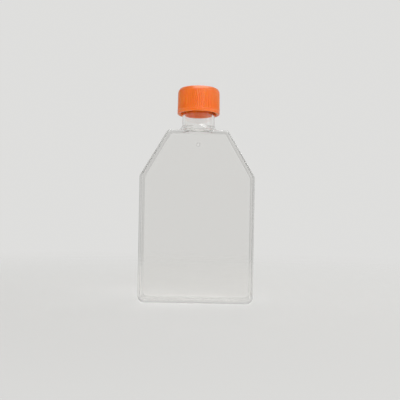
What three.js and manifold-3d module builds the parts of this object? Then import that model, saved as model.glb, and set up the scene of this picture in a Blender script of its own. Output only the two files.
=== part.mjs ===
// A 75 cm2 cell culture flask with a vented screw cap, standing on its end wall. Millimetres, +Z up.
//
// X runs across the flask, Y through its thickness and Z along it. The growth side, which lies down in an
// incubator, faces -Y, and the neck leans back from it towards +Y. The origin is the middle of the footprint.
//
// The real flask is two polystyrene mouldings welded together, a cap and a filter disc:
//   flask_body     top plate, walls, shoulders, end wall, canted neck and its thread
//   growth_plate   flat growth surface, ramp to the neck, locating ridge
//   cap            ribbed skirt, vented top, plug ring and internal thread
//   vent_membrane  filter disc under the cap's windows
import * as THREE from "three";
import { mergeVertices } from "three/addons/utils/BufferGeometryUtils.js";
import Module from "manifold-3d";

const wasm = await Module();
wasm.setup();

// ---------------------------------------------------------------- driving dimensions

// Body
const bodyWidth = 85; // across the side walls, at the growth side
const bodyThickness = 37; // from the growth surface's outside to the top plate's outside
const growthLength = 93.5; // of the straight part, from the end wall's outside to the shoulders
const shoulderLength = 34.5; // from the shoulders' start to the mouth wall's outside
const mouthWidth = 44.5; // of the narrow wall that carries the neck
const wall = 1.5; // side, end and shoulder walls
const topWall = 1.4; // top plate
const sideDraft = 0.6; // each side wall leans in this much over the thickness
const heelRadius = 5; // corners of the end wall, in plan
const shoulderRadius = 3; // corners where the shoulders start
const mouthRadius = 2.5; // corners beside the neck
const topEdgeRadius = 1.6; // rounding round the top plate

// Growth plate
const plateWall = 1.4;
const ridgeWidth = 0.9; // locating ridge just inside the walls
const ridgeHeight = 1.1;
const ridgeEndInset = 4; // the ridge stops this far short of the mouth wall
const weldGap = 0.3; // all round the weld, between the two mouldings

// Neck
const cantDegrees = 7.5; // the ramp rises, and the neck leans back, by this angle
const neckDiameter = 24.4;
const neckWall = 1.75;
const neckLength = 30; // along its axis, from the mouth wall's outside to the rim
const rimChamfer = 0.4;
const rootRadius = 4.5; // fillet between the neck and the mouth wall, where there is room for it

// Thread
const threadPitch = 4;
const threadTurns = 1.5;
const threadHeight = 1.1;
const threadCrest = 0.7; // width of its flat top
const threadFoot = 1.7; // width where it leaves the wall
const threadRunOut = 0.12; // turns over which each end rises from the wall
const threadSink = 0.3; // how deep its foot is rooted in the wall
const threadFromRim = 2.6; // from the rim to the middle of the thread's upper end
const threadClearance = 0.35; // from either crest to the facing wall

// Cap
const skirtWall = 2.25; // at the rim, out to the ribs' crests
const capHeight = 19.4;
const capDraft = 0.25; // the skirt leans in this much to the top
const capTopWall = 1.5;
const capEdgeRadius = 2.4;
const capBand = 2.2; // plain band above the rim
const capRimChamfer = 0.4;
const ribCount = 72;
const ribDepth = 0.25;
const ribCrestShare = 0.55; // of each rib's pitch
const ribFlankShare = 0.12; // of each rib's pitch, either side
const sealGap = 0.3; // from the neck's rim to the underside of the cap's top
const plugClearance = 0.3; // from the plug ring to the neck's bore
const plugWall = 0.9;
const plugDepth = 2.2;
const plugLead = 0.4; // chamfer at the plug ring's mouth

// Vent
const windowCount = 6;
const hubRadius = 2.6;
const spokeWidth = 1.6;
const membraneWall = 0.3;
const membraneLand = 1.45; // sealed ring of the disc outside the windows
const membraneClearance = 0.4; // from the disc's edge to the plug ring
const membraneGap = 0.3; // from the disc to the underside of the cap's top

// Moulding gate on the shoulder of the top plate
const gateDiameter = 3.2;
const gateGroove = 0.5;
const gateDepth = 0.3;
const gateFromMouth = 9.5;

// Facets
const roundSteps = 72; // round the neck and the cap
const planSteps = 4; // half the facets round a corner of the plan
const edgeSteps = 4; // round the top plate's edge
const filletSteps = 6; // round a turned fillet
const weldTolerance = 1e-5; // closer points are one point

// ---------------------------------------------------------------- derived places

const cant = THREE.MathUtils.degToRad(cantDegrees);
const rise = Math.tan(cant);
const growthY = -bodyThickness / 2; // outside of the growth surface
const topY = bodyThickness / 2;
const mouthZ = growthLength + shoulderLength; // outside of the mouth wall
const mouthInnerZ = mouthZ - wall;
const neckRadius = neckDiameter / 2;
const boreRadius = neckRadius - neckWall;
const past = 5; // how far a cutter runs past what it cuts

/** Height of the growth side's outside at z: flat, then the ramp. */
const floorY = (z) => growthY + rise * Math.max(0, z - growthLength);

// The neck's lowest line lies in the ramp's own plane, so the two run into each other.
const neckBase = new THREE.Vector3(0, floorY(mouthZ) + neckRadius / Math.cos(cant), mouthZ);
const neckFrame = new THREE.Matrix4().makeRotationX(-cant).setPosition(neckBase);

const capTopH = neckLength + sealGap + capTopWall; // heights in the cap are along the neck's axis
const capUnderH = neckLength + sealGap;
const capRimH = capTopH - capHeight;
const capBoreRadius = neckRadius + threadHeight + threadClearance;
const capRimRadius = capBoreRadius + skirtWall;
const capTopRadius = capRimRadius - capDraft;
const plugRadius = boreRadius - plugClearance;
const membraneRadius = plugRadius - plugWall - membraneClearance;
const windowRadius = membraneRadius - membraneLand;
const threadStartH = neckLength - threadFromRim - threadPitch * threadTurns;

// ---------------------------------------------------------------- helpers

/** A closed three.js geometry as a solid: only positions count, and triangles that shrank to a line go. */
function solidOf(geometry) {
  const bare = geometry.clone();
  bare.deleteAttribute("normal");
  bare.deleteAttribute("uv");
  const merged = mergeVertices(bare, weldTolerance);
  const corners = [];
  for (let i = 0; i < merged.index.count; i += 3) {
    const [a, b, c] = [0, 1, 2].map((k) => merged.index.getX(i + k));
    if (a !== b && b !== c && c !== a) corners.push(a, b, c);
  }
  const mesh = new wasm.Mesh({
    numProp: 3,
    vertProperties: new Float32Array(merged.attributes.position.array),
    triVerts: new Uint32Array(corners),
  });
  return new wasm.Manifold(mesh);
}

/** A solid as a named three.js mesh. */
function meshOf(name, solid, material) {
  const { vertProperties, triVerts } = solid.getMesh();
  const geometry = new THREE.BufferGeometry();
  geometry.setAttribute("position", new THREE.BufferAttribute(vertProperties, 3));
  geometry.setIndex(new THREE.BufferAttribute(triVerts, 1));
  geometry.computeVertexNormals();
  const mesh = new THREE.Mesh(geometry, material);
  mesh.name = name;
  return mesh;
}

/** A [radius, height] outline turned about +Z, with one of its facet edges facing -Y. */
function turned(outline) {
  const points = outline.map(([radius, height]) => new THREE.Vector2(radius, height));
  return new THREE.LatheGeometry(points, roundSteps).rotateX(Math.PI / 2);
}

/** A solid cylinder about +Z. */
function rod(radius, low, high) {
  return solidOf(turned([[0, low], [radius, low], [radius, high], [0, high]]));
}

/** Points of an arc about a centre, from angle `from` to `to` in degrees. */
function arcPoints(centre, radius, from, to) {
  const arc = new THREE.EllipseCurve(
    centre[0], centre[1], radius, radius,
    THREE.MathUtils.degToRad(from), THREE.MathUtils.degToRad(to), to < from,
  );
  return arc.getPoints(filletSteps).map((p) => [p.x, p.y]);
}

/** A closed outline through corners [x, y, radius], counterclockwise, each corner rounded. */
function roundedOutline(corners) {
  const shape = new THREE.Shape();
  corners.forEach(([x, y, radius], i) => {
    const at = new THREE.Vector2(x, y);
    const before = new THREE.Vector2(...corners.at(i - 1));
    const after = new THREE.Vector2(...corners[(i + 1) % corners.length]);
    const back = before.sub(at).normalize();
    const on = after.sub(at).normalize();
    const half = Math.acos(back.dot(on)) / 2;
    const centre = at.clone().addScaledVector(back.clone().add(on).normalize(), radius / Math.sin(half));
    const start = at.clone().addScaledVector(back, radius / Math.tan(half)).sub(centre).angle();
    const end = at.clone().addScaledVector(on, radius / Math.tan(half)).sub(centre).angle();
    shape.absarc(centre.x, centre.y, radius, start, end, false);
  });
  return shape;
}

// ---------------------------------------------------------------- the flask's plan and side outlines

/** The flask seen from its growth side, in x and z, moved in from its outside by `inset` all round. */
function planOutline(inset) {
  const lean = Math.atan2((bodyWidth - mouthWidth) / 2, shoulderLength); // of the shoulders, from Z
  const side = bodyWidth / 2 - inset;
  const shoulderZ = growthLength - inset * Math.tan(lean / 2);
  const mouthHalf = mouthWidth / 2 - inset * (1 - Math.sin(lean)) / Math.cos(lean);
  const leastRadius = wall / 4;
  const cornerRadius = (radius) => Math.max(radius - inset, leastRadius);
  return roundedOutline([
    [-side, inset, cornerRadius(heelRadius)],
    [side, inset, cornerRadius(heelRadius)],
    [side, shoulderZ, cornerRadius(shoulderRadius)],
    [mouthHalf, mouthZ - inset, cornerRadius(mouthRadius)],
    [-mouthHalf, mouthZ - inset, cornerRadius(mouthRadius)],
    [-side, shoulderZ, cornerRadius(shoulderRadius)],
  ]);
}

/**
 * The plan moved in by `inset` and drawn out through the thickness, from below the growth side up to `highY`,
 * with its upper edge rounded by `edge`. Its sides lean in by the draft.
 */
function planBlock(inset, highY, edge) {
  const lowY = growthY - past;
  const geometry = new THREE.ExtrudeGeometry(planOutline(inset), {
    depth: highY - lowY - 2 * edge,
    curveSegments: planSteps,
    bevelEnabled: edge > 0,
    bevelThickness: edge,
    bevelSize: edge,
    bevelOffset: -edge,
    bevelSegments: edgeSteps,
  });
  geometry.rotateX(Math.PI / 2).translate(0, highY - edge, 0); // plan into X and Z, drawn out towards -Y
  const places = geometry.attributes.position;
  for (let i = 0; i < places.count; i += 1) {
    const up = (places.getY(i) - growthY) / bodyThickness;
    places.setX(i, places.getX(i) * (1 - (sideDraft * up) / (bodyWidth / 2)));
  }
  return solidOf(geometry);
}

/** A block across the whole flask whose side outline is a list of [z, y] corners. */
function acrossBlock(outline) {
  const shape = new THREE.Shape(outline.map(([z, y]) => new THREE.Vector2(z, y)));
  const across = bodyWidth + 2 * past;
  const geometry = new THREE.ExtrudeGeometry(shape, { depth: across, bevelEnabled: false });
  // the outline's first direction becomes Z, its second stays Y, and it is drawn out along X
  return solidOf(geometry.rotateY(-Math.PI / 2).translate(across / 2, 0, 0));
}

/** Everything between two lines `low` and `high` above the growth side's outside, up to z = endZ. */
function floorLayer(low, high, endZ) {
  return acrossBlock([
    [-past, growthY + low],
    [growthLength, growthY + low],
    [endZ, floorY(endZ) + low],
    [endZ, floorY(endZ) + high],
    [growthLength, growthY + high],
    [-past, growthY + high],
  ]);
}

// ---------------------------------------------------------------- thread

/**
 * A straight trapezoid bar bent into a helix about +Z. It stands on a wall of radius `wallRadius`, outwards or
 * inwards, and each end rises out of the wall over the run-out.
 */
function threadSolid(wallRadius, outwards, startH) {
  const section = new THREE.Shape([
    new THREE.Vector2(-threadSink, -threadFoot / 2),
    new THREE.Vector2(threadHeight, -threadCrest / 2),
    new THREE.Vector2(threadHeight, threadCrest / 2),
    new THREE.Vector2(-threadSink, threadFoot / 2),
  ]);
  const bar = new THREE.ExtrudeGeometry(section, {
    depth: threadTurns, // one unit of length becomes one turn
    steps: Math.round(roundSteps * threadTurns),
    bevelEnabled: false,
  });
  const leastShare = 0.1; // so that the bar's ends keep a face
  const places = bar.attributes.position;
  for (let i = 0; i < places.count; i += 1) {
    const turns = places.getZ(i);
    const fromEnd = Math.min(turns, threadTurns - turns) / threadRunOut;
    const share = Math.min(1, Math.max(fromEnd, leastShare));
    const height = (places.getX(i) + threadSink) * share - threadSink;
    const radius = wallRadius + (outwards ? height : -height);
    const angle = 2 * Math.PI * turns;
    places.setXYZ(
      i,
      radius * Math.cos(angle),
      radius * Math.sin(angle),
      startH + threadPitch * turns + places.getY(i),
    );
  }
  return solidOf(bar);
}

// ---------------------------------------------------------------- flask body

/** The fillet at the neck's foot: turned about +Z, then sheared so that its foot lies in the mouth wall. */
function neckRoot() {
  const roomAbove = topY - topEdgeRadius - neckBase.y - neckRadius;
  const roomBeside = mouthWidth / 2 - mouthRadius - neckRadius;
  const fillet = Math.min(rootRadius, roomAbove, roomBeside);
  const outer = neckRadius + fillet;
  const outline = [
    [0, -wall],
    [outer, -wall],
    ...arcPoints([outer, fillet], fillet, 270, 180),
    [0, fillet],
  ];
  const lean = new THREE.Matrix4().makeShear(0, 0, 0, 0, 0, rise);
  const widen = new THREE.Matrix4().makeScale(1, 1 / Math.cos(cant), 1);
  const geometry = turned(outline).applyMatrix4(widen).applyMatrix4(lean);
  return solidOf(geometry.translate(neckBase.x, neckBase.y, neckBase.z));
}

/** The neck's tube without its bore, from inside the mouth wall to the rim, with its thread. */
function neckTube() {
  const outline = [
    [0, -past],
    [neckRadius, -past],
    [neckRadius, neckLength - rimChamfer],
    [neckRadius - rimChamfer, neckLength],
    [0, neckLength],
  ];
  const tube = solidOf(turned(outline)).add(threadSolid(neckRadius, true, threadStartH));
  return tube.transform(neckFrame.elements);
}

/** What is kept clear below the walls: the growth plate's room, then the air under the ramp's plane. */
function underside() {
  const seat = plateWall + weldGap;
  const farZ = mouthZ + neckLength;
  const lowY = growthY - 3 * past;
  return acrossBlock([
    [-past, lowY],
    [farZ, lowY],
    [farZ, floorY(farZ)],
    [mouthInnerZ, floorY(mouthInnerZ)],
    [mouthInnerZ, floorY(mouthInnerZ) + seat],
    [growthLength, growthY + seat],
    [-past, growthY + seat],
  ]);
}

function gateMark() {
  const outer = gateDiameter / 2;
  const ring = turned([
    [outer - gateGroove, -past],
    [outer, -past],
    [outer, past],
    [outer - gateGroove, past],
    [outer - gateGroove, -past],
  ]);
  ring.rotateX(-Math.PI / 2).translate(0, topY - gateDepth + past, mouthZ - gateFromMouth);
  return solidOf(ring);
}

function flaskBody() {
  const cavity = planBlock(wall, topY - topWall, topEdgeRadius - topWall / 2);
  const bore = rod(boreRadius, -2 * past, neckLength + past).transform(neckFrame.elements);
  const inside = acrossBlock([
    [-past, growthY - past],
    [mouthInnerZ, growthY - past],
    [mouthInnerZ, topY + past],
    [-past, topY + past],
  ]);
  const tube = neckTube().subtract(inside);
  return planBlock(0, topY, topEdgeRadius)
    .subtract(cavity)
    .add(neckRoot())
    .subtract(underside())
    .add(tube)
    .subtract(bore)
    .subtract(gateMark());
}

// ---------------------------------------------------------------- growth plate

function growthPlate() {
  const plateEnd = mouthInnerZ - weldGap;
  const plate = planBlock(0, topY, 0).intersect(floorLayer(0, plateWall, plateEnd));
  const ridgeInset = wall + weldGap;
  const ridge = planBlock(ridgeInset, topY, 0)
    .subtract(planBlock(ridgeInset + ridgeWidth, topY + past, 0))
    .intersect(floorLayer(plateWall / 2, plateWall + ridgeHeight, mouthInnerZ - ridgeEndInset));
  return plate.add(ridge);
}

// ---------------------------------------------------------------- cap and vent

/** The skirt's rib outline: a crest and a valley for each rib. */
function ribOutline() {
  const pitch = (2 * Math.PI) / ribCount;
  const crest = capRimRadius + ribDepth; // stands proud, and the envelope trims it
  const valley = capTopRadius - ribDepth;
  const flank = ribFlankShare * pitch;
  const points = [];
  for (let i = 0; i < ribCount; i += 1) {
    const middle = i * pitch;
    const half = (ribCrestShare * pitch) / 2;
    for (const [angle, radius] of [
      [middle - half - flank, valley],
      [middle - half, crest],
      [middle + half, crest],
      [middle + half + flank, valley],
    ]) {
      points.push(new THREE.Vector2(radius * Math.cos(angle), radius * Math.sin(angle)));
    }
  }
  return new THREE.Shape(points);
}

/** The cap's outside as a plain turned form. */
function capEnvelope() {
  return solidOf(turned([
    [0, capRimH],
    [capRimRadius - capRimChamfer, capRimH],
    [capRimRadius, capRimH + capRimChamfer],
    ...arcPoints([capTopRadius - capEdgeRadius, capTopH - capEdgeRadius], capEdgeRadius, 0, 90),
    [0, capTopH],
  ]));
}

/** The room inside the skirt, wider at its mouth. */
function capBore() {
  const lead = 2 * capRimChamfer;
  return solidOf(turned([
    [0, capRimH - past],
    [capBoreRadius + lead + past, capRimH - past],
    [capBoreRadius, capRimH + lead],
    [capBoreRadius, capUnderH],
    [0, capUnderH],
  ]));
}

/** The ring under the cap's top that plugs the neck. */
function plugRing() {
  const inner = plugRadius - plugWall;
  const low = capUnderH - plugDepth;
  return solidOf(turned([
    [inner, low],
    [plugRadius - plugLead, low],
    [plugRadius, low + plugLead],
    [plugRadius, capTopH - capTopWall / 2],
    [inner, capTopH - capTopWall / 2],
    [inner, low],
  ]));
}

/** One window of the vent, a sector between the hub and the window radius, less half a spoke at each side. */
function ventWindow(turn) {
  const half = Math.PI / windowCount;
  const edgeAngle = (radius) => half - Math.asin(spokeWidth / 2 / radius);
  const shape = new THREE.Shape();
  shape.absarc(0, 0, windowRadius, -edgeAngle(windowRadius), edgeAngle(windowRadius), false);
  shape.absarc(0, 0, hubRadius, edgeAngle(hubRadius), -edgeAngle(hubRadius), true);
  const geometry = new THREE.ExtrudeGeometry(shape, {
    depth: capTopWall + 2 * past,
    curveSegments: filletSteps,
    bevelEnabled: false,
  });
  return solidOf(geometry.rotateZ(turn).translate(0, 0, capUnderH - past));
}

function screwCap() {
  const skirtLow = capRimH + capBand;
  const ribs = solidOf(
    new THREE.ExtrudeGeometry(ribOutline(), { depth: capHeight, bevelEnabled: false })
      .translate(0, 0, skirtLow),
  );
  const band = rod(capRimRadius + past, capRimH - past, skirtLow);
  let cap = ribs.add(band).intersect(capEnvelope()).subtract(capBore());
  for (let i = 0; i < windowCount; i += 1) {
    cap = cap.subtract(ventWindow((i * 2 * Math.PI) / windowCount));
  }
  return cap.add(plugRing()).add(threadSolid(capBoreRadius, false, threadStartH - threadPitch / 2));
}

function ventMembrane() {
  const high = capUnderH - membraneGap;
  return rod(membraneRadius, high - membraneWall, high);
}

// ---------------------------------------------------------------- materials and assembly

const clearPolystyrene = new THREE.MeshStandardMaterial({
  color: 0xeef1f2, roughness: 0.08, metalness: 0, transparent: true, opacity: 0.35,
});
const orangePlastic = new THREE.MeshStandardMaterial({ color: 0xf0703a, roughness: 0.42, metalness: 0 });
const membraneFilm = new THREE.MeshStandardMaterial({ color: 0xf6f6f4, roughness: 0.9, metalness: 0 });

const flask = new THREE.Group();
flask.add(meshOf("flask_body", flaskBody(), clearPolystyrene));
flask.add(meshOf("growth_plate", growthPlate(), clearPolystyrene));

const closure = new THREE.Group(); // everything that turns with the cap, built about its own axis
closure.applyMatrix4(neckFrame);
closure.add(meshOf("cap", screwCap(), orangePlastic));
closure.add(meshOf("vent_membrane", ventMembrane(), membraneFilm));
flask.add(closure);

export default flask;
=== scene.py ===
# %% [markdown]
# # A vented cell culture flask
#
# The real thing is two clear polystyrene mouldings welded together, an orange screw cap and a filter disc.
# This lesson builds its looks round a fixed frame: the frame holds the sizes, the places and the joint of
# the cap, and every surface made here has to fit it. The first lines load that frame and keep its parts,
# whose boxes give the outer sizes.

# %% Load the fixed frame
import math

import bmesh
import bpy
import numpy as np
from mathutils import Matrix, Vector


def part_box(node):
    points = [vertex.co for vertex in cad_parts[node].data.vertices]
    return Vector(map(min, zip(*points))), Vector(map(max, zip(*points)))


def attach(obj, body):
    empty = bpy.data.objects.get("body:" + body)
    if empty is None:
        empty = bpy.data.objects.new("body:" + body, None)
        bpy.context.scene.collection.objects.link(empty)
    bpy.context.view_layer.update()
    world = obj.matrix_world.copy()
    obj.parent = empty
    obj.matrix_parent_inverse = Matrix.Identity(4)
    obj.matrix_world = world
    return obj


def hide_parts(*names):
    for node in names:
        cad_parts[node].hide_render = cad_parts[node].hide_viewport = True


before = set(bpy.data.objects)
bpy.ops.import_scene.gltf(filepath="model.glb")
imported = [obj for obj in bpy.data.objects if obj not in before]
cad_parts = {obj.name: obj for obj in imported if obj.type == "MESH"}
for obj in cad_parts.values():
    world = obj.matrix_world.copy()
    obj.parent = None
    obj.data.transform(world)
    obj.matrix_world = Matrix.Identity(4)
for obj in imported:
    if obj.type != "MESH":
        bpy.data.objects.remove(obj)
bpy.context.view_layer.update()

# %% [markdown]
# ## Sizes
#
# Blender works in metres. The outer sizes are read from the frame's boxes, and the few that a box
# can't tell, such as wall thicknesses and radii, are named here once. The flask stands on its end
# wall: X runs across it, Y through its thickness and Z along it. The growth side faces -Y, and the
# neck leans back towards +Y.

# %% Sizes of the clear body
MM = 0.001
plate_low, plate_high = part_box("growth_plate")
body_width = plate_high.x - plate_low.x
growth_y = plate_low.y
top_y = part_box("flask_body")[1].y
thickness = top_y - growth_y
wall = 1.5 * MM
top_wall = 1.4 * MM
plate_wall = 1.4 * MM
weld_gap = 0.3 * MM  # between the two mouldings, filled by the weld
mouth_z = plate_high.z + weld_gap + wall  # outside of the wall that carries the neck
growth_length = 93.5 * MM  # end wall to the start of the shoulders
mouth_width = 44.5 * MM
side_draft = 0.6 * MM  # each side leans in this much over the thickness
heel_radius = 5 * MM
shoulder_radius = 3 * MM
mouth_radius = 2.5 * MM
top_edge_radius = 1.6 * MM
least_radius = 0.375 * MM  # of a corner that is moved inwards
cant = math.radians(7.5)  # the ramp and the neck lean by this angle
lean = math.atan2((body_width - mouth_width) / 2, mouth_z - growth_length)  # of the shoulders, from Z
print(f"body {body_width / MM:.1f} x {thickness / MM:.1f} mm, mouth wall at {mouth_z / MM:.1f} mm")
print(f"shoulders lean {math.degrees(lean):.1f} degrees")

# %% [markdown]
# ## From grids to closed skins
#
# Every piece starts as one or more grids of points, each grid a function of two parameters. Two grids that
# share an edge are joined by welding the points that coincide. The same step closes a grid that runs round
# to its own start, and a row of points that all lie in one place becomes one point, because triangles that
# lost a side are dropped. What comes out is a watertight skin, which is what a solid needs to be cut,
# joined and made of glass.

# %% Triangles of a grid
def triangles_of(rows, columns):
    """Two triangles for each cell of a grid, with corners (r, c), (r, c+1), (r+1, c+1) and (r+1, c)."""
    corner = (np.arange(rows - 1)[:, None] * columns + np.arange(columns - 1)).ravel()
    right, up, far = corner + 1, corner + columns, corner + columns + 1
    return np.concatenate([np.stack([corner, right, far], 1), np.stack([corner, far, up], 1)])


print("a grid of 3 by 3 points has", len(triangles_of(3, 3)), "triangles")

# %% Weld grids into a skin
WELD = 1e-7  # metres between points that count as one


def skin(name, *grids):
    """An object from (rows, columns, 3) grids: points within WELD are one, and flat triangles go."""
    points = np.concatenate([grid.reshape(-1, 3) for grid in grids])
    starts = np.cumsum([0] + [grid.shape[0] * grid.shape[1] for grid in grids[:-1]])
    faces = np.concatenate([triangles_of(*grid.shape[:2]) + start for grid, start in zip(grids, starts)])
    _, first, same = np.unique(np.round(points / WELD), axis=0, return_index=True, return_inverse=True)
    faces = same.reshape(-1)[faces]
    whole = (faces[:, 0] != faces[:, 1]) & (faces[:, 1] != faces[:, 2]) & (faces[:, 2] != faces[:, 0])
    mesh = bpy.data.meshes.new(name)
    mesh.from_pydata(points[first], [], faces[whole])
    mesh.update()
    piece = bpy.data.objects.new(name, mesh)
    bpy.context.scene.collection.objects.link(piece)
    face_outwards(piece)
    return piece


def face_outwards(piece):
    """Turns a closed skin's faces outwards: all one way first, then all over if the volume is negative."""
    bm = bmesh.new()
    bm.from_mesh(piece.data)
    bmesh.ops.recalc_face_normals(bm, faces=bm.faces)
    if bm.calc_volume(signed=True) < 0:
        bmesh.ops.reverse_faces(bm, faces=bm.faces)
    bm.to_mesh(piece.data)
    bm.free()


def measure(piece):
    """Prints a piece's triangles, its volume and how many of its edges are open, which must be none."""
    bm = bmesh.new()
    bm.from_mesh(piece.data)
    opened = sum(not edge.is_manifold for edge in bm.edges)
    volume = bm.calc_volume(signed=True) / MM**3
    triangles = sum(len(face.verts) - 2 for face in bm.faces)
    bm.free()
    print(f"{piece.name}: {triangles} triangles, {volume:.1f} mm3, {opened} open edges")


# %% [markdown]
# ## Cutting and joining
#
# The body is a box with a neck, a thread and a hollow, so its skins are joined and cut like real
# solids. Blender's Boolean modifier does that, and its result is kept as the mesh. Glass shows every
# wrong normal, so after the last cut the edges over a chosen angle are marked sharp, and the Weighted
# Normal modifier lets the large flat faces rule their borders: a flat wall then stays optically flat
# right up to its fillet.

# %% Join, cut and shade
def combine(piece, tool, operation):
    """Joins ("UNION") or cuts ("DIFFERENCE") a piece with a tool skin, and drops the tool."""
    step = piece.modifiers.new("combine", "BOOLEAN")
    step.operation = operation
    step.solver = "MANIFOLD"
    step.object = tool
    bpy.context.view_layer.update()
    made = bpy.data.meshes.new_from_object(piece.evaluated_get(bpy.context.evaluated_depsgraph_get()))
    piece.modifiers.clear()
    piece.data = made
    print(f"{piece.name} {operation} {tool.name}: {len(made.polygons)} faces")
    bpy.data.objects.remove(tool)


def smooth(piece, sharp_degrees):
    """Smooth shading with edges over an angle kept sharp, weighted by the size of the faces."""
    piece.data.shade_smooth()
    piece.data.set_sharp_from_angle(angle=math.radians(sharp_degrees))
    weighted = piece.modifiers.new("flat faces rule", "WEIGHTED_NORMAL")
    weighted.keep_sharp = True
    weighted.weight = 100
    sharp = sum(edge.use_edge_sharp for edge in piece.data.edges)
    print(f"{piece.name}: {sharp} edges over {sharp_degrees} degrees are kept sharp")


# %% [markdown]
# ## The plan of the flask
#
# Seen from its growth side the flask is a house shape with rounded corners. Only half of it is needed: its
# half width at each height z. The same formula, moved in by an inset, gives the inside of the walls and
# both sides of the locating ridge, so all of them stay parallel.

# %% Corners of the plan
def corner_centre(normal_a, offset_a, normal_b, offset_b):
    """Where two lines meet, each given by the angle of its normal and its distance from the origin."""
    normals = [[math.cos(normal_a), math.sin(normal_a)], [math.cos(normal_b), math.sin(normal_b)]]
    return np.linalg.solve(normals, [offset_a, offset_b])


shoulder_offset = math.cos(lean) * body_width / 2 + math.sin(lean) * growth_length


def plan_corners(inset):
    """(centre, radius) of the heel, shoulder and mouth corners of the plan moved in by `inset`."""
    radii = [max(radius - inset, least_radius) for radius in (heel_radius, shoulder_radius, mouth_radius)]
    heel, shoulder, mouth = radii
    side = body_width / 2 - inset
    slope = shoulder_offset - inset
    return [
        (corner_centre(-math.pi / 2, -inset - heel, 0, side - heel), heel),
        (corner_centre(0, side - shoulder, lean, slope - shoulder), shoulder),
        (corner_centre(lean, slope - mouth, math.pi / 2, mouth_z - inset - mouth), mouth),
    ]


print("corner radii:", [round(radius / MM, 2) for _, radius in plan_corners(0)], "mm")


# %% Half width of the plan
def half_width(z, inset):
    """Half the plan's width at z: a heel arc, the straight side, the shoulder arc, the slope, the mouth arc.

    On an arc it is centre + sqrt(radius^2 - (z - centre)^2). On the slope, x cos(lean) + z sin(lean) is
    the same everywhere.
    """
    (heel, r_heel), (shoulder, r_shoulder), (mouth, r_mouth) = plan_corners(inset)

    def arc(centre, radius):
        return centre[0] + np.sqrt(np.clip(radius**2 - (z - centre[1]) ** 2, 0, None))

    slope = (shoulder_offset - inset - z * math.sin(lean)) / math.cos(lean)
    side = np.full_like(z, body_width / 2 - inset)
    places = [
        z < heel[1],
        z < shoulder[1],
        z < shoulder[1] + r_shoulder * math.sin(lean),
        z < mouth[1] + r_mouth * math.sin(lean),
    ]
    widths = [arc(heel, r_heel), side, arc(shoulder, r_shoulder), slope]
    return np.select(places, widths, arc(mouth, r_mouth))


print("half widths at 0, 50 and 120 mm:", np.round(half_width(np.array([0, 50, 120]) * MM, 0) / MM, 2))


# %% Stations along the flask
def stations(inset):
    """Heights where the plan is sampled: close together on the arcs and across the growth side's bend."""
    (heel, r_heel), _, (mouth, r_mouth) = plan_corners(inset)
    quarter = np.linspace(0, math.pi / 2, 13)
    mouth_arc = np.linspace(lean, math.pi / 2, 11)
    near = 2.5 * MM
    above_heel = 12 * MM
    return np.concatenate([
        heel[1] - r_heel * np.cos(quarter),
        np.linspace(above_heel, growth_length - near, 10),
        np.linspace(growth_length - near, growth_length, 9)[1:],
        np.linspace(growth_length, growth_length + near, 9)[1:],
        np.linspace(growth_length + near, mouth[1] - near, 6)[1:],
        mouth[1] + r_mouth * np.sin(mouth_arc),
    ])


print(len(stations(0)), "stations")

# %% [markdown]
# ## Floor and draft
#
# The growth side is flat up to the shoulders and then rises to the mouth as a ramp, so a cell scraper and a
# pipette reach every corner. A real bend is never a knife edge: a small round takes it over a few
# millimetres. All sides lean in a little towards the top plate, because a moulding has to leave its tool.

# %% Floor and draft formulas
bend_round = 2.0 * MM  # the bend is spread over this length, either side


def floor_y(z):
    """Outside of the growth side: flat, then rising by tan(cant), with a parabola across the bend."""
    past = z - growth_length
    straight = np.maximum(past, 0)
    rounded = (past + bend_round) ** 2 / (4 * bend_round)
    return growth_y + math.tan(cant) * np.where(np.abs(past) < bend_round, rounded, straight)


def drafted(x, y, z):
    """Points from plan x and z at height y: x shrinks in proportion to how far y is above the growth side."""
    shrink = 1 - side_draft * (y - growth_y) / thickness / (body_width / 2)
    return np.stack([x * shrink, y, z], -1)


mouth_floor = float(floor_y(mouth_z))  # the growth side's outside, where the mouth wall stands on it
print(f"the ramp rises {(mouth_floor - growth_y) / MM:.1f} mm on its way to the mouth")

# %% [markdown]
# ## Plates and walls
#
# A plate is a grid: across the flask by the stations along it. A wall is a closed loop round the
# plan, repeated for each step of a profile that says how far in and how high it is. Both sample
# the plan at the same stations, so the plate's border and the wall's first row are the same
# points, and the weld joins them.

# %% Plates
ACROSS = np.linspace(-1, 1, 25)  # from the left side to the right, in half widths


def plate_grid(inset, height):
    """Grid over the plan: x = share of the half width, z = station, y = height(z)."""
    z = stations(inset)
    half = half_width(z, inset)
    x = ACROSS[:, None] * half
    z = np.broadcast_to(z, x.shape)
    return drafted(x, height(z), z)


print("a plate's grid of x, y and z is", plate_grid(0, floor_y).shape)


# %% Walls
def loop(inset):
    """Once round the plan, counterclockwise: end wall, right side, mouth wall, left side."""
    z = stations(inset)
    half = half_width(z, inset)
    x = np.concatenate([ACROSS * half[0], half[1:], -ACROSS[1:] * half[-1], -half[-2::-1]])
    along = np.concatenate([np.full(len(ACROSS), z[0]), z[1:], np.full(len(ACROSS) - 1, z[-1]), z[-2::-1]])
    return x, along


def wall_grid(profile):
    """Rows of loops, one for each (inset, height function) of a profile."""
    rows = []
    for inset, height in profile:
        x, z = loop(inset)
        rows.append(drafted(x, height(z), z))
    return np.stack(rows)


print("a loop round the plan has", len(loop(0)[0]), "points")


# %% Heights and edges
def from_floor(h):
    """A height function: `h` above the growth side's outside."""
    return lambda z: floor_y(z) + h


def level(y):
    """A height function: the same y everywhere."""
    return lambda z: np.full_like(z, y)


def top_edge(inset, y, radius):
    """Profile steps of a quarter round from the wall into a plate at y."""
    turn = np.linspace(0, math.pi / 2, 9)
    return [(inset + radius * (1 - math.cos(t)), level(y - radius * (1 - math.sin(t)))) for t in turn]


print("an edge has", len(top_edge(0, top_y, top_edge_radius)), "rows")

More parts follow.
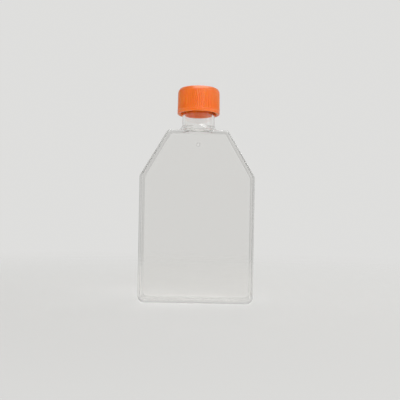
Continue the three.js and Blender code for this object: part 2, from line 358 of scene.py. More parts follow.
# %% [markdown]
# ## Outside of the body
#
# From the growth surface outwards: a small round where the plate ends, the weld line between the two
# mouldings, then the wall up to the rounded edge of the top plate. The weld shows on a real flask as a fine
# groove, because both mouldings have a broken edge there.

# %% Outer skin
plate_edge = 0.35 * MM
weld_depth = 0.12 * MM
foot_round = [
    (plate_edge * (1 - math.sin(t)), from_floor(plate_edge * (1 - math.cos(t))))
    for t in np.linspace(0, math.pi / 2, 6)
]
weld_line = [
    (0, from_floor(plate_wall)),
    (weld_depth, from_floor(plate_wall + weld_gap / 2)),
    (0, from_floor(plate_wall + weld_gap)),
]
body = skin(
    "clear_flask",
    plate_grid(plate_edge, from_floor(0)),
    wall_grid(foot_round + weld_line + top_edge(0, top_y, top_edge_radius)),
    plate_grid(top_edge_radius, level(top_y)),
)
measure(body)

# %% [markdown]
# ## Hollow of the body
#
# The hollow is the same kind of skin, one wall further in. Its floor carries the locating ridge that keeps
# the two mouldings in line while they are welded. The ridge stops short of the mouth, where its height
# fades out.

# %% Inner skin with the ridge
ridge_width = 0.9 * MM
ridge_height = 1.1 * MM
ridge_end = mouth_z - wall - 4 * MM
ridge_fade = 0.5 * MM  # the ridge's end sinks over this length
ridge_soft = 0.2 * MM
ridge_out = wall + weld_gap
ridge_in = ridge_out + ridge_width


def on_ridge(share):
    """A height function: the floor's inside plus a share of the ridge, which fades out before the mouth."""

    def height(z):
        left = np.clip((ridge_end - z) / ridge_fade, 0, 1)
        return floor_y(z) + plate_wall + share * ridge_height * left

    return height


ridge = [
    (ridge_in + ridge_soft, on_ridge(0)),
    (ridge_in, on_ridge(0.2)),
    (ridge_in, on_ridge(0.85)),
    (ridge_in - ridge_soft / 2, on_ridge(0.97)),
    (ridge_in - ridge_soft, on_ridge(1)),
    (ridge_out + ridge_soft, on_ridge(1)),
    (ridge_out + ridge_soft / 2, on_ridge(0.97)),
    (ridge_out, on_ridge(0.85)),
    (ridge_out, on_ridge(0)),
]
inner_top = top_y - top_wall
inner_radius = top_edge_radius - top_wall / 2
hollow = skin(
    "hollow",
    plate_grid(ridge_in + ridge_soft, on_ridge(0)),
    wall_grid(ridge + [(wall, from_floor(plate_wall))] + top_edge(wall, inner_top, inner_radius)),
    plate_grid(wall + inner_radius, level(inner_top)),
)
measure(hollow)

# %% [markdown]
# ## The neck's frame
#
# The neck leans back, so it has an axis of its own. Everything turned about it - tube, bore, threads,
# cap, filter - is written with a radius, an angle and a height along that axis, and one function
# places it in the flask.

# %% Turned surfaces about the leaning axis
neck_radius = 12.2 * MM
neck_wall = 1.75 * MM
neck_length = 30 * MM
bore_radius = neck_radius - neck_wall
neck_base = Vector((0, mouth_floor + neck_radius / math.cos(cant), mouth_z))
to_neck = np.array(Matrix.Translation(neck_base) @ Matrix.Rotation(-cant, 4, "X"))


def on_neck(radius, angle, height):
    """Points at (radius, angle, height) about the neck's axis, put in place by its matrix."""
    radius, angle, height = np.broadcast_arrays(radius, angle, height)
    local = np.stack([radius * np.cos(angle), radius * np.sin(angle), height], -1)
    return local @ to_neck[:3, :3].T + to_neck[:3, 3]


def turned(profile, steps):
    """Grid of a (radius, height) profile turned once round the neck's axis."""
    radius, height = np.array(profile).T
    angle = np.linspace(0, 2 * math.pi, steps + 1) - math.pi / 2
    return on_neck(radius[:, None], angle, height[:, None])


def round_corner(centre, radius, start, end, steps=8):
    """Profile points on an arc round `centre` from `start` to `end` degrees."""
    angle = np.radians(np.linspace(start, end, steps + 1))
    return list(zip(centre[0] + radius * np.cos(angle), centre[1] + radius * np.sin(angle)))


print("the neck starts at", [round(c / MM, 2) for c in neck_base], "mm")

# %% Tube and bore
ROUND = 144  # steps round the neck
rim_round = 0.4 * MM
deep = 5 * MM  # how far the tube reaches into the body
off_ramp = 0.01 * MM  # keeps the tube's lowest line off the plane of the ramp
tube_radius = neck_radius - off_ramp
tube = skin("tube", turned(
    [(0, -deep), (tube_radius, -deep)]
    + round_corner((tube_radius - rim_round, neck_length - rim_round), rim_round, 0, 90)
    + [(0, neck_length)],
    ROUND,
))
bore = skin("bore", turned(
    [(0, -2 * deep), (bore_radius, -2 * deep)]
    + round_corner((bore_radius + rim_round, neck_length - rim_round), rim_round, 180, 90)[:-1]
    + [(bore_radius + rim_round, neck_length + deep), (0, neck_length + deep)],
    ROUND,
))
measure(tube)
measure(bore)

# %% [markdown]
# ## The flared root
#
# Where the neck leaves the mouth wall a moulding has a generous fillet, or it would crack there. It
# is turned about a straight axis, then sheared, so that its foot lies flat in the mouth wall while
# its waist follows the leaning tube. Below, it is cut off by the plane of the ramp, which the
# neck's lowest line lies in.

# %% Root fillet
root_radius = 4.5 * MM
root_outer = neck_radius + root_radius
root_profile = np.array(
    [(0, -wall), (root_outer, -wall)]
    + round_corner((root_outer, root_radius), root_radius, 270, 180, 12)
    + [(0, root_radius)]
)
angle = np.linspace(0, 2 * math.pi, ROUND + 1) - math.pi / 2
radius, height = root_profile[:, :1], root_profile[:, 1:]
root = skin("root", np.stack([
    radius * np.cos(angle),
    neck_base.y + radius * np.sin(angle) / math.cos(cant) + height * math.tan(cant),
    np.broadcast_to(neck_base.z + height, (len(root_profile), ROUND + 1)),
], -1))
measure(root)

# %% Cut the root along the ramp
reach = 60 * MM  # half the side of a block that lies under the ramp
ramp = np.array(Matrix.Translation((0, mouth_floor, mouth_z)) @ Matrix.Rotation(-cant, 4, "X"))
square = np.array([[-1, -1], [1, -1], [1, 1], [-1, 1], [-1, -1]]) * reach
block = np.stack([
    np.column_stack([square * share, np.full(5, y)])[:, [0, 2, 1]]
    for share, y in [(0, 0), (1, 0), (1, -reach), (0, -reach)]
])
under_ramp = skin("under_ramp", block @ ramp[:3, :3].T + ramp[:3, 3])
combine(root, under_ramp, "DIFFERENCE")
measure(root)

# %% [markdown]
# ## Threads
#
# A thread is a section carried along a helix. Its section is a trapezoid with rounded corners, rooted a
# little in the wall it stands on, and at both ends it sinks into that wall over a short run-out. The same
# function makes the thread outside the neck and the one inside the cap.

# %% Section of the thread
thread_pitch = 4 * MM
thread_turns = 1.5
thread_height = 1.1 * MM
thread_crest = 0.5 * MM  # width of the crest's flat
thread_foot = 1.7 * MM
thread_round = 0.25 * MM
thread_sink = 0.3 * MM  # how deep its root lies in the wall
thread_below_rim = 2.6 * MM
thread_start = neck_length - thread_below_rim - thread_pitch * thread_turns


def thread_section():
    """(out, along) round the section: foot, flank, rounded crest, flank, and back through the wall."""
    upper = round_corner((thread_height - thread_round, thread_crest / 2), thread_round, 0, 70, 4)
    lower = [(out, -along) for out, along in reversed(upper)]
    low_foot, high_foot = (-thread_sink, -thread_foot / 2), (-thread_sink, thread_foot / 2)
    return np.array([low_foot, *lower, *upper, high_foot, low_foot])


print("a thread's section has", len(thread_section()) - 1, "points")

# %% Sweep the section along a helix
run_out = 0.12  # turns over which each end sinks into the wall
end_power = 0.6  # below 1, so that the ends are blunt
end_height = 0.06  # shares of the section's height and width that are left at the very end
end_width = 0.25


def thread(name, wall_radius, side, start):
    """Helix: angle = 2 pi t, height = start + pitch t; the section stands out (side 1) or in (side -1)."""
    t = np.linspace(0, thread_turns, int(ROUND * thread_turns) + 1)[:, None]
    share = np.clip(np.minimum(t, thread_turns - t) / run_out, 0, 1) ** end_power
    out, along = thread_section().T
    out = (out + thread_sink) * (end_height + (1 - end_height) * share) - thread_sink
    along = along * (end_width + (1 - end_width) * share)
    rows = on_neck(wall_radius + side * out, 2 * math.pi * t, start + thread_pitch * t + along)
    first, last = [np.broadcast_to(row.mean(1, keepdims=True), row.shape) for row in (rows[:1], rows[-1:])]
    return skin(name, np.concatenate([first, rows, last]))


neck_thread = thread("neck_thread", neck_radius, 1, thread_start)
measure(neck_thread)

# %% [markdown]
# ## Putting the body together
#
# The outside, the flared root, the tube and the thread are joined, then the hollow and the bore are cut
# out, and last the small ring that the moulding gate leaves on the shoulder of the top plate.

# %% Ring of the gate
gate_radius = 1.35 * MM
gate_depth = 0.3 * MM
gate_z = mouth_z - 9.5 * MM
ring_angle = np.linspace(0, 2 * math.pi, 49)[:, None]
groove = np.array(round_corner((0, 0), gate_depth, 0, 360, 12))
ring_radius = gate_radius + groove[:, 0]
gate = skin("gate", np.stack([
    ring_radius * np.cos(ring_angle),
    np.broadcast_to(top_y + groove[:, 1], (len(ring_angle), len(groove))),
    gate_z + ring_radius * np.sin(ring_angle),
], -1))
measure(gate)

# %% Join and cut
for joined in (root, tube, neck_thread):
    combine(body, joined, "UNION")
for cutter in (hollow, bore, gate):
    combine(body, cutter, "DIFFERENCE")
smooth(body, 28)
measure(body)

# %% [markdown]
# ## The screw cap
#
# The cap is one closed profile turned round: top, edge, skirt, rim, bore, underside and plug ring. The
# skirt's grip is 72 fine ribs. They are not added but taken away: between crests the radius falls to a
# valley, faded out above the plain band and below the smooth shoulder. The shoulder is a quarter of an
# ellipse, taller than it is wide, so it catches the light from above in a broad band.

# %% Sizes of the cap
clearance = 0.3 * MM  # from the cap to the neck's rim and bore, and to the disc
thread_clearance = 0.35 * MM
cap_top_radius = 15.65 * MM
cap_rim_radius = 15.9 * MM
cap_top = neck_length + 1.8 * MM
cap_under = neck_length + clearance
cap_rim = cap_top - 19.4 * MM
cap_edge = 2.4 * MM  # the shoulder's width
cap_shoulder = 3.5 * MM  # and its height
shoulder_foot = cap_top - cap_shoulder
cap_bore = neck_radius + thread_height + thread_clearance
plug_radius = bore_radius - clearance
plug_wall = 0.9 * MM
plug_low = cap_under - 2.2 * MM
band_top = cap_rim + 2.2 * MM
print(f"cap {2 * cap_rim_radius / MM:.1f} mm wide and {(cap_top - cap_rim) / MM:.1f} mm high")

# %% Profiles of the cap
lip = 0.6 * MM  # round of the rim's outer edge
lead_in = 0.8 * MM  # chamfer at the mouth of the skirt
bore_round = 0.5 * MM
plug_round = 0.3 * MM
grip_inset = 0.03 * MM  # of the grip's foot from the plain band


def down_grip(share):
    """A point a share of the way from the shoulder's foot to the plain band."""
    radius = cap_top_radius + (cap_rim_radius - cap_top_radius) * share
    return radius, shoulder_foot - (shoulder_foot - band_top) * share


round_edge = round_corner((cap_top_radius - cap_edge, cap_top - cap_edge), cap_edge, 90, 0, 14)
outer_profile = (
    [(0, cap_top)]
    + [(r, cap_top - (cap_top - h) * cap_shoulder / cap_edge) for r, h in round_edge]  # stretched down
    + [down_grip(0.35), down_grip(0.7)]
    + [(cap_rim_radius - grip_inset, band_top + up * MM) for up in (0.8, 0.6, 0.4, 0.2, 0)]
    + round_corner((cap_rim_radius - lip, cap_rim + lip), lip, 0, -90)
)
inner_profile = (
    [(cap_bore + lead_in, cap_rim), (cap_bore, cap_rim + lead_in)]
    + round_corner((cap_bore - bore_round, cap_under - bore_round), bore_round, 0, 90, 4)
    + [(plug_radius, cap_under)]
    + round_corner((plug_radius - plug_round, plug_low + plug_round), plug_round, 0, -90, 4)
    + [(plug_radius - plug_wall, plug_low), (plug_radius - plug_wall, cap_under), (0, cap_under)]
)
print(len(outer_profile), "points outside and", len(inner_profile), "inside")

# %% Ribs taken out of the grip
rib_count = 72
rib_depth = 0.25 * MM
rib_samples = 10  # steps from crest to crest
crest_share = 0.55  # of the way from one rib to the next
flank_share = 0.12
band_fade = 0.6 * MM  # the valleys rise out of the plain band over this height
shoulder_fade = 1 * MM  # and run out into the shoulder over this one


def rib_valley(angle):
    """1 in a rib's valley and 0 on its crest, with raised-cosine flanks between them."""
    from_crest = np.abs((angle * rib_count / (2 * math.pi) + 0.5) % 1 - 0.5)  # 0 on the crest's middle
    down_flank = np.clip((from_crest - crest_share / 2) / flank_share, 0, 1)
    return 0.5 - 0.5 * np.cos(math.pi * down_flank)


cap_angle = np.linspace(0, 2 * math.pi, rib_count * rib_samples + 1) - math.pi / 2
radius, height = np.array(outer_profile)[:, :1], np.array(outer_profile)[:, 1:]
above_band = np.clip((height - band_top) / band_fade, 0, 1)
below_shoulder = np.clip((shoulder_foot + shoulder_fade - height) / shoulder_fade, 0, 1)
spare = np.clip(radius - (cap_top_radius - rib_depth), 0, None)
ribbed = on_neck(radius - spare * (above_band * below_shoulder) * rib_valley(cap_angle), cap_angle, height)
cap = skin("screw_cap", ribbed, turned([outer_profile[-1]] + inner_profile, rib_count * rib_samples))
measure(cap)

# %% [markdown]
# ## The vent windows
#
# A vented cap breathes through windows in its top, with the filter disc sealed below them. Each window is a
# sector between the hub and the rim, its corners rounded and its sides parallel to the spokes. The cutter
# widens at both ends like a trumpet, which leaves a soft edge all round each window.

# %% Outline of a window
window_count = 6
window_outer = 7.4 * MM
window_inner = 2.6 * MM
window_soft = 0.25 * MM  # round of the edge at either face
window_power = 0.28  # low powers make a superellipse square with soft corners
spoke = 1.6 * MM
past_face = 1 * MM  # how far the cutter stands out of the cap's top on either side


def window_loop(flare):
    """Closed (radius, angle) outline: a superellipse across and along, mapped between two spokes."""
    turn = np.linspace(0, 2 * math.pi, 65)
    across, along = np.round([np.cos(turn), np.sin(turn)], 12)  # exact noughts, so that the loop closes
    across = np.sign(across) * np.abs(across) ** window_power
    along = np.sign(along) * np.abs(along) ** window_power
    low, high = window_inner - flare, window_outer + flare
    radius = (low + high) / 2 + along * (high - low) / 2
    half = math.pi / window_count - np.arcsin((spoke / 2 - flare) / radius)
    return radius, across * half


print("a window's outline has", len(window_loop(0)[0]) - 1, "points")


# %% Cut six windows and join the thread
def window_cutter(turn_by):
    """Rows of window outlines through the cap's top, flared by a quarter round at either face."""
    soft = window_soft
    quarter = np.linspace(0, math.pi / 2, 6)
    upper = [(soft * (1 - math.cos(q)), cap_top - soft * (1 - math.sin(q))) for q in quarter]
    lower = [(flare, cap_top + cap_under - h) for flare, h in reversed(upper)]
    steps = [(soft, cap_under - past_face)] + lower + upper + [(soft, cap_top + past_face)]
    rows = []
    for flare, h in steps:
        radius, angle = window_loop(flare)
        rows.append(on_neck(radius, angle + turn_by, h))
    middle = (window_inner + window_outer) / 2
    low, high = [np.full(rows[0].shape, on_neck(middle, turn_by, h)) for _, h in (steps[0], steps[-1])]
    return skin("window", np.stack([low, *rows, high]))


for i in range(window_count):
    combine(cap, window_cutter(2 * math.pi * i / window_count), "DIFFERENCE")
combine(cap, thread("cap_thread", cap_bore, -1, thread_start - thread_pitch / 2), "UNION")
smooth(cap, 35)
measure(cap)

# %% [markdown]
# ## The filter disc
#
# Under the windows lies a thin disc of water-repellent film, which lets air through and keeps germs
# out. It is flat, so its profile has only a top, a small round at the edge and an underside. Its fibres
# are left to its finish.

# %% Filter disc
disc_radius = plug_radius - plug_wall - 0.4 * MM
disc_top = cap_under - clearance
disc_under = disc_top - 0.3 * MM
disc_round = 0.1 * MM
disc = skin("filter_disc", turned(
    [(0, disc_top)]
    + round_corner((disc_radius - disc_round, disc_top - disc_round), disc_round, 90, 0, 4)
    + [(disc_radius, disc_under), (0, disc_under)],
    ROUND,
))
smooth(disc, 40)
measure(disc)

# %% [markdown]
# ## Helpers for finishes
#
# Each finish below is a few patterns added up: a broad one for how the melt flowed, and fine ones for grain
# or scuffs. A few small helpers come first: an empty material, a node with its inputs filled in, sums and
# products of patterns, noise of a given size, a soft step from one value to another, and relief that a
# Bump node makes from heights in metres.

# %% An empty material and a finish on a piece
def new_material(name):
    """A node material that holds only its output; returns it with its node tree and that output."""
    material = bpy.data.materials.new(name)
    material.use_nodes = True
    nodes = material.node_tree.nodes
    for node in [node for node in nodes if node.type != "OUTPUT_MATERIAL"]:
        nodes.remove(node)
    return material, material.node_tree, nodes["Material Output"]


def coat(piece, material):
    """Gives a piece this finish alone."""
    piece.data.materials.clear()
    piece.data.materials.append(material)
    print(f"{piece.name}: finish {material.name}, {len(material.node_tree.nodes)} nodes")


# %% Nodes
def add(tree, kind, inputs=(), **settings):
    """A node of this kind; its inputs, by name or place, are numbers, colours or sockets of other nodes."""
    node = tree.nodes.new(kind)
    for name, value in settings.items():
        setattr(node, name, value)
    for name, value in dict(inputs).items():
        if isinstance(value, bpy.types.NodeSocket):
            tree.links.new(value, node.inputs[name])
        else:
            node.inputs[name].default_value = value
    return node


def calculate(tree, operation, *values):
    """A Math node on numbers or sockets."""
    return add(tree, "ShaderNodeMath", enumerate(values), operation=operation).outputs["Value"]


# %% Patterns
def on_object(tree):
    """The Object coordinates of a piece, in metres."""
    return add(tree, "ShaderNodeTexCoord").outputs["Object"]


def noise(tree, grain, detail=2, stretch=(1, 1, 1), distortion=0):
    """Noise from 0 to 1, with features about `grain` across that are stretched along each axis."""
    scale = [1 / share for share in stretch]
    place = add(tree, "ShaderNodeMapping", {"Vector": on_object(tree), "Scale": scale}).outputs["Vector"]
    inputs = {"Vector": place, "Scale": 1 / grain, "Detail": detail, "Distortion": distortion}
    return add(tree, "ShaderNodeTexNoise", inputs).outputs["Fac"]


def spread(tree, value, start, end, low, high):
    """Maps start..end of a pattern smoothly to low..high, and holds those two beyond it."""
    inputs = {"Value": value, "From Min": start, "From Max": end, "To Min": low, "To Max": high}
    return add(tree, "ShaderNodeMapRange", inputs, interpolation_type="SMOOTHSTEP").outputs["Result"]


# %% Relief
def relief(tree, shader, *layers):
    """Bump from (height pattern, depth in metres) layers, added up as real heights."""
    total = None
    for pattern, depth in layers:
        part = calculate(tree, "MULTIPLY", pattern, depth)
        total = part if total is None else calculate(tree, "ADD", total, part)
    bump = add(tree, "ShaderNodeBump", {"Distance": 1, "Height": total})
    tree.links.new(bump.outputs["Normal"], shader.inputs["Normal"])


# %% [markdown]
# ## Clear polystyrene
#
# Polystyrene bends light strongly, at an index of 1.59, and absorbs a little of it. Across a wall of 1.4 mm
# that can't be seen, but along the 37 mm of a side wall it adds up to a few percent, and more where light
# runs to and fro inside. So the grey is absorption in the volume, and the surface itself stays almost
# colourless. Three reliefs make it a moulding and not an ideal pane: the melt's rings round the gate, which
# die out along the flask, a slow waviness, and hair-fine scuffs. Shadow rays see a plain transparent
# surface instead, because real clear plastic throws only a faint shadow.

# %% Rings round the gate
def gate_rings(tree, wavelength, reach):
    """sin(2 pi d / wavelength) x exp(-d / reach), where d is the distance from the gate."""
    ends = {0: on_object(tree), 1: (0, top_y, gate_z)}
    distance = add(tree, "ShaderNodeVectorMath", ends, operation="DISTANCE").outputs["Value"]
    wave = calculate(tree, "SINE", calculate(tree, "MULTIPLY", distance, 2 * math.pi / wavelength))
    fading = calculate(tree, "EXPONENT", calculate(tree, "MULTIPLY", distance, -1 / reach))
    return calculate(tree, "MULTIPLY", wave, fading)


# %% Clear material
def two_shaders(tree, output, share, first, second):
    """Surface between two shaders: the first where the share is 0, the second where it is 1."""
    mix = add(tree, "ShaderNodeMixShader", enumerate((share, first.outputs["BSDF"], second.outputs["BSDF"])))
    tree.links.new(mix.outputs["Shader"], output.inputs["Surface"])


def clear_polystyrene():
    """Refracting shader with moulded relief, absorption in the volume, and a surface that shadows pass."""
    material, tree, output = new_material("clear_polystyrene")
    shader = add(tree, "ShaderNodeBsdfPrincipled", {
        "Base Color": (0.975, 0.972, 0.965, 1),
        "Roughness": 0.03,
        "IOR": 1.59,
        "Transmission Weight": 1,
    })
    scuffs = calculate(
        tree, "ADD",
        spread(tree, noise(tree, 0.35 * MM, stretch=(1, 1, 30), distortion=0.3), 0.64, 0.7, 0, 1),
        spread(tree, noise(tree, 0.35 * MM, stretch=(30, 1, 2), distortion=0.3), 0.66, 0.72, 0, 1),
    )
    relief(
        tree, shader,
        (gate_rings(tree, 2.6 * MM, 14 * MM), 0.0012 * MM),
        (noise(tree, 11 * MM), 0.006 * MM),
        (scuffs, -0.0004 * MM),
    )
    for_shadows = add(tree, "ShaderNodeBsdfTransparent", {"Color": (0.97, 0.97, 0.97, 1)})
    rays = add(tree, "ShaderNodeLightPath")
    two_shaders(tree, output, rays.outputs["Is Shadow Ray"], shader, for_shadows)
    haze = add(tree, "ShaderNodeVolumeAbsorption", {"Color": (0.30, 0.32, 0.30, 1), "Density": 2})
    tree.links.new(haze.outputs["Volume"], output.inputs["Volume"])
    return material


coat(body, clear_polystyrene())

# %% [markdown]
# ## Orange cap plastic
#
# The cap is a coloured polyolefin, satin and slightly waxy: light enters it a little way, so its shaded
# side still glows. The pigment isn't mixed perfectly, so the colour wanders by a few percent in long
# swirls. The grip is handled with gloves, which polishes the crests of the ribs and leaves the valleys
# dull. The crests are also painted a lighter orange than the valleys, a painted sheen and painted shade
# on top of the real ribs. Where the crests are is geometry, so it is worked out for each point and kept
# with the mesh as an attribute that the material reads.

# %% Mark the rib crests
def mark_crests(piece):
    """Attribute "crest": 1 on a rib's crest, 0 in its valley, and half where there are no ribs."""
    count = len(piece.data.vertices)
    places = np.empty(3 * count)
    piece.data.vertices.foreach_get("co", places)
    x, y, height, _ = np.linalg.inv(to_neck) @ np.column_stack([places.reshape(-1, 3), np.ones(count)]).T
    radius, angle = np.hypot(x, y), np.arctan2(y, x)
    on_grip = (radius > cap_top_radius - 1.5 * rib_depth) & (height > band_top) & (height < shoulder_foot)
    crest = np.where(on_grip, 1 - rib_valley(angle), 0.5)
    piece.data.attributes.new("crest", "FLOAT", "POINT").data.foreach_set("value", crest)
    print(f"{on_grip.sum()} points on the grip, {np.mean(crest[on_grip] > 0.5):.0%} of them on crests")


mark_crests(cap)


# %% Orange material
def two_tone(tree, shader, share, first, second):
    """Base colour between two (red, green, blue) tones: the first where the share is 0, the second at 1."""
    inputs = {"Factor": share, "A": (*first, 1), "B": (*second, 1)}
    colour = add(tree, "ShaderNodeMix", inputs, data_type="RGBA")
    tree.links.new(colour.outputs["Result"], shader.inputs["Base Color"])


def orange_plastic():
    """Satin orange with a shallow glow, swirls in the pigment, polished crests painted lighter as a sheen,
    and a fine moulded grain.
    """
    material, tree, output = new_material("orange_cap")
    shader = add(tree, "ShaderNodeBsdfPrincipled", {
        "IOR": 1.5,
        "Subsurface Weight": 1,
        "Subsurface Radius": (1, 0.4, 0.15),
        "Subsurface Scale": 2.5 * MM,
    })
    crest = add(tree, "ShaderNodeAttribute", attribute_name="crest").outputs["Fac"]
    swirl = noise(tree, 7 * MM, detail=3, stretch=(1, 1, 2.5), distortion=1.5)
    # painted sheen and painted shade: the rib crests are made a lighter orange than the valleys
    tone = calculate(tree, "ADD", swirl, calculate(tree, "MULTIPLY", crest, 0.3))
    two_tone(tree, shader, spread(tree, tone, 0.35, 0.95, 0, 1), (0.87, 0.16, 0.01), (0.95, 0.21, 0.014))
    grain = noise(tree, 0.4 * MM, detail=3)
    polish = calculate(tree, "MULTIPLY", crest, -0.1)
    roughness = calculate(tree, "ADD", spread(tree, grain, 0.3, 0.7, 0.28, 0.36), polish)
    tree.links.new(roughness, shader.inputs["Roughness"])
    relief(tree, shader, (grain, 0.006 * MM), (noise(tree, 3 * MM), 0.02 * MM))
    tree.links.new(shader.outputs["BSDF"], output.inputs["Surface"])
    return material


coat(cap, orange_plastic())

# %% [markdown]
# ## White film
#
# The filter is a stretched fluoropolymer film on a fibrous backing. Under the windows it looks like fine
# felt: matt, slightly uneven in its white, with hair-thin fibres that cross. Two noises stretched across
# each other and cut to thin lines give the fibres, and a third gives the cloudy tone.

# %% Film material
def white_film():
    """Matt white with cloudy tone and a relief of crossing fibres."""
    material, tree, output = new_material("membrane")
    shader = add(tree, "ShaderNodeBsdfPrincipled", {"Roughness": 0.85})
    fibres = calculate(tree, "MAXIMUM", *[
        spread(tree, noise(tree, 0.12 * MM, stretch=stretch, distortion=0.8), 0.55, 0.65, 0, 1)
        for stretch in ((8, 1, 1), (1, 8, 1))
    ])
    cloud = calculate(tree, "ADD", noise(tree, 1.5 * MM, detail=4), calculate(tree, "MULTIPLY", fibres, 0.3))
    two_tone(tree, shader, spread(tree, cloud, 0.4, 0.9, 0, 1), (0.76, 0.76, 0.74), (0.9, 0.9, 0.89))
    relief(tree, shader, (fibres, 0.01 * MM), (cloud, 0.01 * MM))
    tree.links.new(shader.outputs["BSDF"], output.inputs["Surface"])
    return material


coat(disc, white_film())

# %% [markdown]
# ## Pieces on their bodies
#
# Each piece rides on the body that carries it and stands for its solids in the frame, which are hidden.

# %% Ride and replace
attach(body, "flask")
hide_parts("flask_body", "growth_plate")
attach(cap, "cap")
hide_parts("cap")
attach(disc, "vent")
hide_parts("vent_membrane")
print("on their bodies:", body.name, cap.name, disc.name)

# %% [markdown]
# ## Floor
#
# A studio lays a sweep, a sheet that curves up behind the object so that no horizon shows. The same look
# needs no curve here: a round matt floor carries the shadow, and further out it fades away, as a
# transparent material, into a backdrop of the same colour.

# %% Floor
BACKDROP = (0.735, 0.733, 0.722)
floor_size = 0.65  # radius
floor_drop = 0.02 * MM  # keeps the floor off the flask's foot


def pale_floor():
    """Matt floor that fades out into the backdrop with the distance from the flask."""
    material, tree, output = new_material("pale_floor")
    matt = add(tree, "ShaderNodeBsdfDiffuse", {"Color": (0.82, 0.818, 0.806, 1)})
    gone = add(tree, "ShaderNodeBsdfTransparent")
    far = add(tree, "ShaderNodeVectorMath", {0: on_object(tree)}, operation="LENGTH").outputs["Value"]
    fading = spread(tree, far, 0.1, 0.95 * floor_size, 0, 1)
    two_shaders(tree, output, fading, matt, gone)
    return material


angle = np.linspace(0, 2 * math.pi, 97)
radius = np.linspace(0, floor_size, 9)[:, None]
height = np.full((len(radius), len(angle)), -floor_drop)
floor = skin("floor", np.stack([radius * np.cos(angle), radius * np.sin(angle), height], -1))
coat(floor, pale_floor())
print("floor:", len(floor.data.polygons), "faces")

# %% [markdown]
# ## The room round the flask
#
# Clear plastic shows nothing but its surroundings, bent or mirrored. In a plain white room it would vanish,
# so a studio puts grey cards beside it: flat walls stay clear, and every edge picks up a fine grey line.
# The world does the same by asking what kind of ray is looking.
#
# - A ray from the camera, or one that was only bent, sees the plain backdrop, so that flat walls stay
#   clear.
# - A ray mirrored inside a wall sees four soft grey cards, one on each side, which draw the edges. The
#   light comes through the gaps between them, at the corners of the room.
# - A ray mirrored on the outside sees a bright panel overhead, which puts the highlight on the cap's edge,
#   and less light on the left and low in front, where the camera stands.
# - Every other ray carries light to the floor and the cap, and sees the room at an even level.
#
# Blender can also sample a world's light directly, but such a sample has no kind, and the floor
# would be lit by the mirrored patterns. So that is switched off here, which costs nothing in a
# room as even as this one.

# %% Levels of the light, as shares of the backdrop's
ROOM = 0.6  # what matt surfaces get
CARD, GAP = 0.94, 1.14  # the grey cards, and the light between them
LOW_INSIDE = 0.86  # near the horizon and below, for rays inside a wall
PANEL = 6  # the panel overhead
LEFT = 0.75  # the left side
FRONT = 0.25  # in front, below the panel's foot
print("from", FRONT, "low in front to", PANEL, "overhead")


# %% What mirrored rays see inside and outside
def choose(tree, share, low, high):
    """low where share is 0, high where it is 1; each is a number or a socket."""
    inputs = {"Factor": share, "A": low, "B": high}
    return add(tree, "ShaderNodeMix", inputs, data_type="FLOAT").outputs["Result"]


def seen_inside(tree, x, y, z):
    """Light gaps where the cosine of four times the azimuth is low, and less light near the horizon."""
    azimuth = calculate(tree, "ARCTAN2", y, x)
    four_sides = calculate(tree, "COSINE", calculate(tree, "MULTIPLY", azimuth, 4))
    cards = spread(tree, four_sides, -0.75, 0, GAP, CARD)
    return calculate(tree, "MULTIPLY", cards, spread(tree, z, 0.18, 0.34, LOW_INSIDE, 1))


def seen_outside(tree, direction, x, y, z):
    """Panel where the direction is near its centre, times the darker left, times the darker low front."""
    centre = (0.2, -0.5, 0.843)  # of the panel: high, in front and a little to the right
    inputs = {0: direction, 1: centre}
    near = add(tree, "ShaderNodeVectorMath", inputs, operation="DOT_PRODUCT").outputs["Value"]
    panel = spread(tree, near, 0.76, 0.88, 1, PANEL)
    left = spread(tree, x, -0.9, -0.3, LEFT, 1)
    front = choose(tree, spread(tree, y, -0.9, -0.6, 1, 0), 1, spread(tree, z, 0.3, 0.42, FRONT, 1))
    return calculate(tree, "MULTIPLY", calculate(tree, "MULTIPLY", panel, left), front)


# %% World
def studio_world():
    """The backdrop's colour at a strength that depends on the kind of ray, its history and its direction."""
    world = bpy.data.worlds.new("studio")
    bpy.context.scene.world = world
    world.use_nodes = True
    world.cycles.sampling_method = "NONE"
    tree = world.node_tree
    tree.nodes.clear()
    direction = add(tree, "ShaderNodeTexCoord").outputs["Generated"]
    x, y, z = add(tree, "ShaderNodeSeparateXYZ", {"Vector": direction}).outputs
    rays = add(tree, "ShaderNodeLightPath").outputs
    bent = calculate(tree, "MAXIMUM", rays["Is Glossy Ray"], rays["Is Transmission Ray"])
    mirrored = calculate(tree, "GREATER_THAN", rays["Glossy Depth"], 0.5)
    entered = calculate(tree, "GREATER_THAN", rays["Transmission Depth"], 0.5)
    pattern = choose(tree, entered, seen_outside(tree, direction, x, y, z), seen_inside(tree, x, y, z))
    plain = choose(tree, rays["Is Camera Ray"], ROOM, 1)
    strength = choose(tree, bent, plain, choose(tree, mirrored, 1, pattern))
    back = add(tree, "ShaderNodeBackground", {"Color": (*BACKDROP, 1), "Strength": strength})
    add(tree, "ShaderNodeOutputWorld", {"Surface": back.outputs["Background"]})
    return world


print("world:", len(studio_world().node_tree.nodes), "nodes")

# %% [markdown]
# ## Lamps
#
# Large soft lamps keep the light even: a key from the upper right front, a top light from above and behind
# for the shadow in front of the flask, a low fill and a strip from the side. Their power follows from their
# size and from how bright their face should look, so a lamp can be resized without changing the exposure.
# The cap has a lamp of its own in front, low enough to shine up into the skirt. Light linking keeps that
# lamp off the clear walls, and the key and the fill off the cap, whose outside would lose its modelling and
# outshine its inside under all of them.

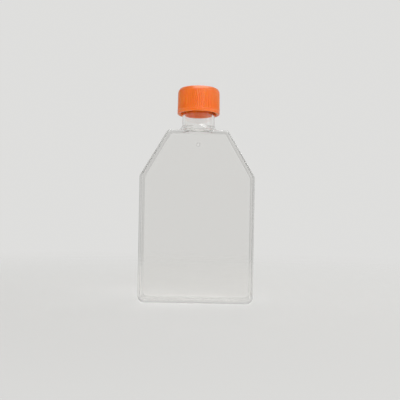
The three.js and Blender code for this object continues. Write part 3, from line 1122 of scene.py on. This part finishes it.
# %% A soft lamp, and what it lights
def softbox(name, place, width, height, glow):
    """A rectangular area lamp that looks at the middle of the flask; its power is pi x area x glow."""
    lamp = bpy.data.lights.new(name, "AREA")
    lamp.shape = "RECTANGLE"
    lamp.size = width
    lamp.size_y = height
    lamp.energy = math.pi * width * height * glow
    box = bpy.data.objects.new(name, lamp)
    box.location = place
    aim = Vector((0, 0, 80 * MM)) - box.location
    box.rotation_euler = aim.to_track_quat("-Z", "Y").to_euler()
    box.visible_camera = box.visible_transmission = False  # only its light and its reflections show
    bpy.context.scene.collection.objects.link(box)
    print(f"{name}: {width:.2f} x {height:.2f} m, {lamp.energy:.2f} W")
    return box


def lights_only(lamp, *pieces):
    """Light linking: the lamp lights nothing but these pieces."""
    lit = bpy.data.collections.new(f"lit_by_{lamp.name}")
    for piece in pieces:
        lit.objects.link(piece)
    lamp.light_linking.receiver_collection = lit
    print(f"{lamp.name} lights only", *[piece.name for piece in pieces])


# %% Lamps
key = softbox("key", (0.5, -1.5, 1.4), 1, 1, 1.8)
softbox("top", (0.1, 0.4, 1.3), 0.9, 0.9, 2.6)
low_fill = softbox("low_fill", (0.5, -0.75, 0.14), 0.35, 0.25, 2)
softbox("side_strip", (0.7, -0.15, 0.2), 0.25, 0.6, 1)
cap_light = softbox("cap_light", (0.04, -0.6, 0.08), 0.3, 0.1, 21)
cap_light.visible_glossy = False  # it would draw a white line down the ribs at the sides
lights_only(key, body, disc, floor)
lights_only(low_fill, body, disc, floor)
lights_only(cap_light, cap)

# %% [markdown]
# ## Camera
#
# The flask is seen straight on and from about half its height, so it shows neither its end wall nor its
# top, but the leaning cap shows the inside of its skirt. The long lens keeps the two sides almost parallel.

# %% Camera
camera_data = bpy.data.cameras.new("camera")
camera_data.sensor_width = 36
camera_data.lens = 88.3
camera = bpy.data.objects.new("camera", camera_data)
bpy.context.scene.collection.objects.link(camera)
camera_place = (7.65 * MM, -739.8 * MM, 82.72 * MM)
to_left, downwards, rolled = (math.radians(degrees) for degrees in (0.416, 0.518, 1.051))
camera.matrix_world = (
    Matrix.Translation(camera_place)
    @ Matrix.Rotation(to_left, 4, "Z")
    @ Matrix.Rotation(math.pi / 2 - downwards, 4, "X")
    @ Matrix.Rotation(rolled, 4, "Z")
)
bpy.context.scene.camera = camera
print("view angle:", round(math.degrees(camera_data.angle), 1), "degrees")

# %% [markdown]
# ## Light paths
#
# In a clear wall that is seen along its depth, light is mirrored from side to side dozens of times before
# it leaves. Cycles stops after four mirrorings by default and takes what is left as black, which draws hard
# black lines along the edges. A far higher limit costs little here, because only few paths get that far.

# %% Light paths and colours
most_mirrorings = 128
paths = bpy.context.scene.cycles
paths.max_bounces = most_mirrorings
paths.glossy_bounces = most_mirrorings
paths.transmission_bounces = most_mirrorings
paths.transparent_max_bounces = 24  # surfaces that a shadow ray may pass
bpy.context.scene.view_settings.view_transform = "Standard"
print("a path may have", paths.max_bounces, "bounces")
